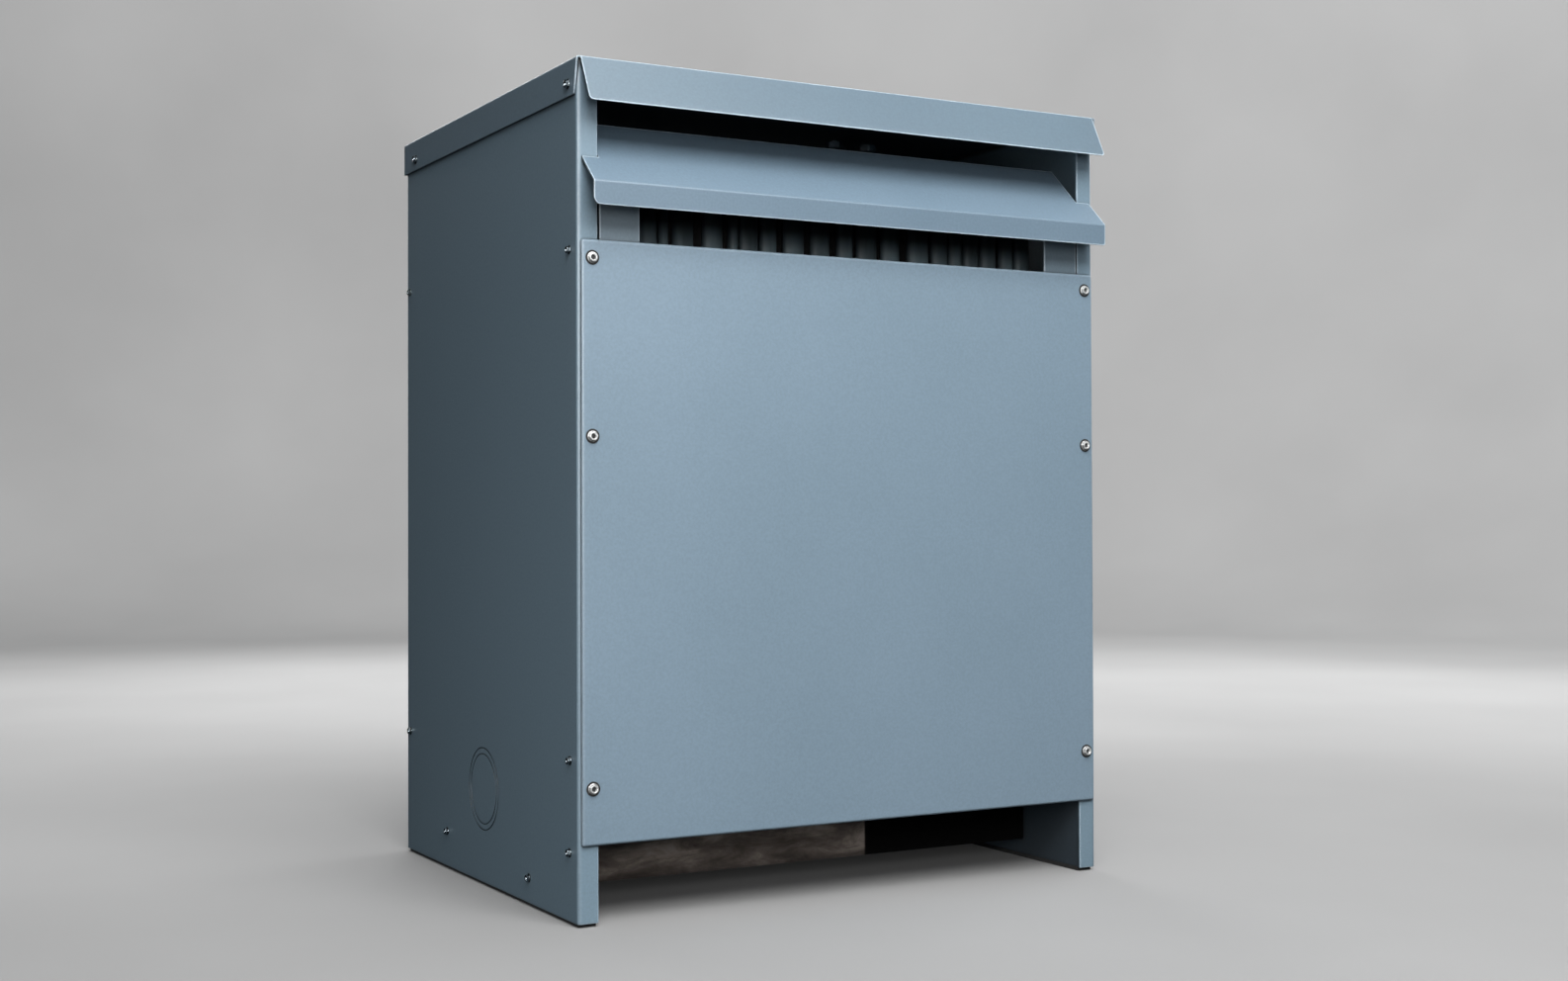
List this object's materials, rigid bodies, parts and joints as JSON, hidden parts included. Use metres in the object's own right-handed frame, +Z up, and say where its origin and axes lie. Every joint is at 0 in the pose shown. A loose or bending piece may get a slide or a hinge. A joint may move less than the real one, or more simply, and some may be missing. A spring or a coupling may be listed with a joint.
{
  "type": "dry-type power transformer",
  "caption": "Free-standing dry-type power transformer in a ventilated sheet-steel case, with a front weather hood, screwed covers and a wound iron core inside.",
  "frame": {"origin": "on the floor, under the middle of the bounding box", "axes": "+X to the right seen from the front, +Y from the front cover to the back, +Z up"},
  "size_m": [0.519, 0.4488, 0.686],
  "materials": {
    "side_panel_paint": "satin blue-grey enamel",
    "top_cover_paint": "satin blue-grey enamel",
    "cover_paint": "satin blue-grey enamel",
    "hood_paint": "satin blue-grey enamel",
    "bracket_paint": "satin blue-grey enamel",
    "rail_paint": "blue-grey enamel, thin and dull inside the case",
    "screw_zinc": "bright zinc plate",
    "strip_rubber": "black rubber",
    "pad_rubber": "black rubber",
    "channel_steel": "dull dark primer",
    "clamp_steel": "dull black varnish",
    "core_iron": "varnished iron sheets",
    "winding_wrap": "dark varnished insulation"
  },
  "bodies": {
    "root": {"base_strip_left": "strip_rubber", "base_rail_left": "rail_paint", "side_panel_left": "side_panel_paint", "hood_bracket_left": "bracket_paint", "blade_bracket_left": "bracket_paint", "base_strip_right": "strip_rubber", "base_rail_right": "rail_paint", "side_panel_right": "side_panel_paint", "hood_bracket_right": "bracket_paint", "blade_bracket_right": "bracket_paint", "top_cover": "top_cover_paint", "lid_screws": "screw_zinc", "front_cover": "cover_paint", "front_cover_screws": "screw_zinc", "rear_cover": "cover_paint", "rear_cover_screws": "screw_zinc", "front_hood": "hood_paint", "rear_blade": "hood_paint", "base_channel_front": "channel_steel", "base_channel_rear": "channel_steel", "isolation_pad_front_left": "pad_rubber", "isolation_pad_front_right": "pad_rubber", "isolation_pad_rear_left": "pad_rubber", "isolation_pad_rear_right": "pad_rubber", "lower_clamp_front": "clamp_steel", "lower_clamp_rear": "clamp_steel", "upper_clamp_front": "clamp_steel", "upper_clamp_rear": "clamp_steel", "lower_yoke": "core_iron", "upper_yoke": "core_iron", "core_leg_left": "core_iron", "winding_left": "winding_wrap", "core_leg_middle": "core_iron", "winding_middle": "winding_wrap", "core_leg_right": "core_iron", "winding_right": "winding_wrap"}
  },
  "joints": []
}
